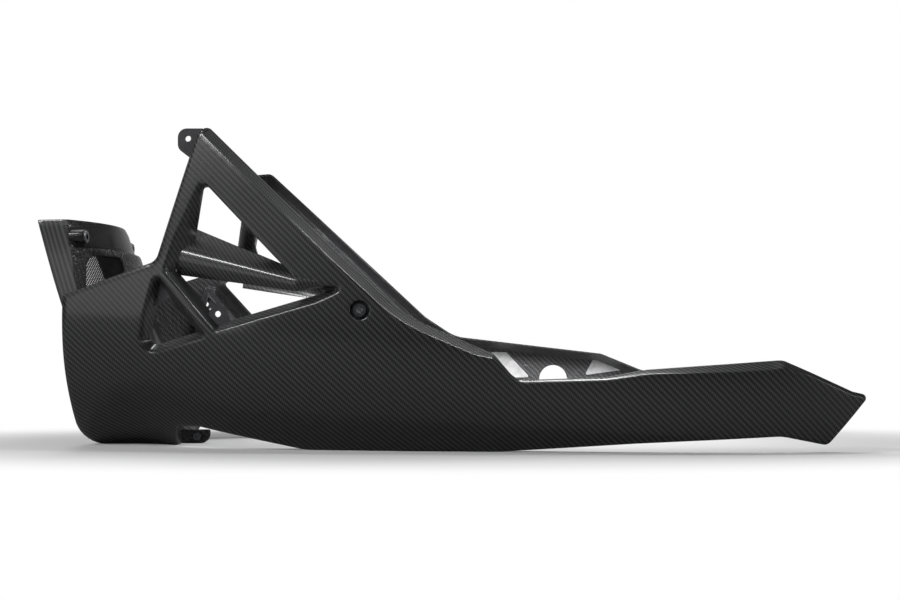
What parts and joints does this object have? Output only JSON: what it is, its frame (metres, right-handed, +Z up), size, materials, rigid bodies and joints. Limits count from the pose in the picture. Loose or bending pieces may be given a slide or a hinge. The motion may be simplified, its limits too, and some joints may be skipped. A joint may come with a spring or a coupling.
{
  "type": "motorcycle belly pan",
  "caption": "Carbon belly pan for a motorcycle: V-hulled side panels with triangular air outlets, a vane and bolt tabs, joined along a keel, with a scooped front cover and mesh.",
  "frame": {"origin": "middle of the footprint, on the floor that the pan stands on", "axes": "+X rearwards, +Y to the machine's right, +Z up"},
  "size_m": [0.8938, 0.3235, 0.3508],
  "materials": {
    "carbon_twill_matt": "2x2 twill carbon laminate under a matt clear coat outside, raw resin inside",
    "carbon_plate": "plain carbon plate, satin",
    "black_wire_mesh": "black coated expanded mesh",
    "black_rubber": "matt black rubber",
    "zinc_steel": "dark zinc plated",
    "heat_foil": "crinkled adhesive aluminium foil"
  },
  "bodies": {
    "root": {"left_side_panel": "carbon_twill_matt", "right_side_panel": "carbon_twill_matt", "front_cover": "carbon_twill_matt", "keel_screws": "zinc_steel", "keel_nuts": "zinc_steel", "front_heat_foil": "heat_foil", "rear_heat_foil": "heat_foil", "left_top_bracket": "carbon_plate", "left_inner_bracket": "carbon_plate", "left_web_bracket": "carbon_plate", "left_keel_flange": "carbon_twill_matt", "left_cover_boss": "carbon_twill_matt", "left_cover_mesh": "black_wire_mesh", "left_mount_grommet": "black_rubber", "left_mount_sleeve": "zinc_steel", "left_cover_sleeve": "zinc_steel", "right_top_bracket": "carbon_plate", "right_inner_bracket": "carbon_plate", "right_web_bracket": "carbon_plate", "right_keel_flange": "carbon_twill_matt", "right_cover_boss": "carbon_twill_matt", "right_cover_mesh": "black_wire_mesh", "right_mount_grommet": "black_rubber", "right_mount_sleeve": "zinc_steel", "right_cover_sleeve": "zinc_steel"}
  },
  "joints": []
}
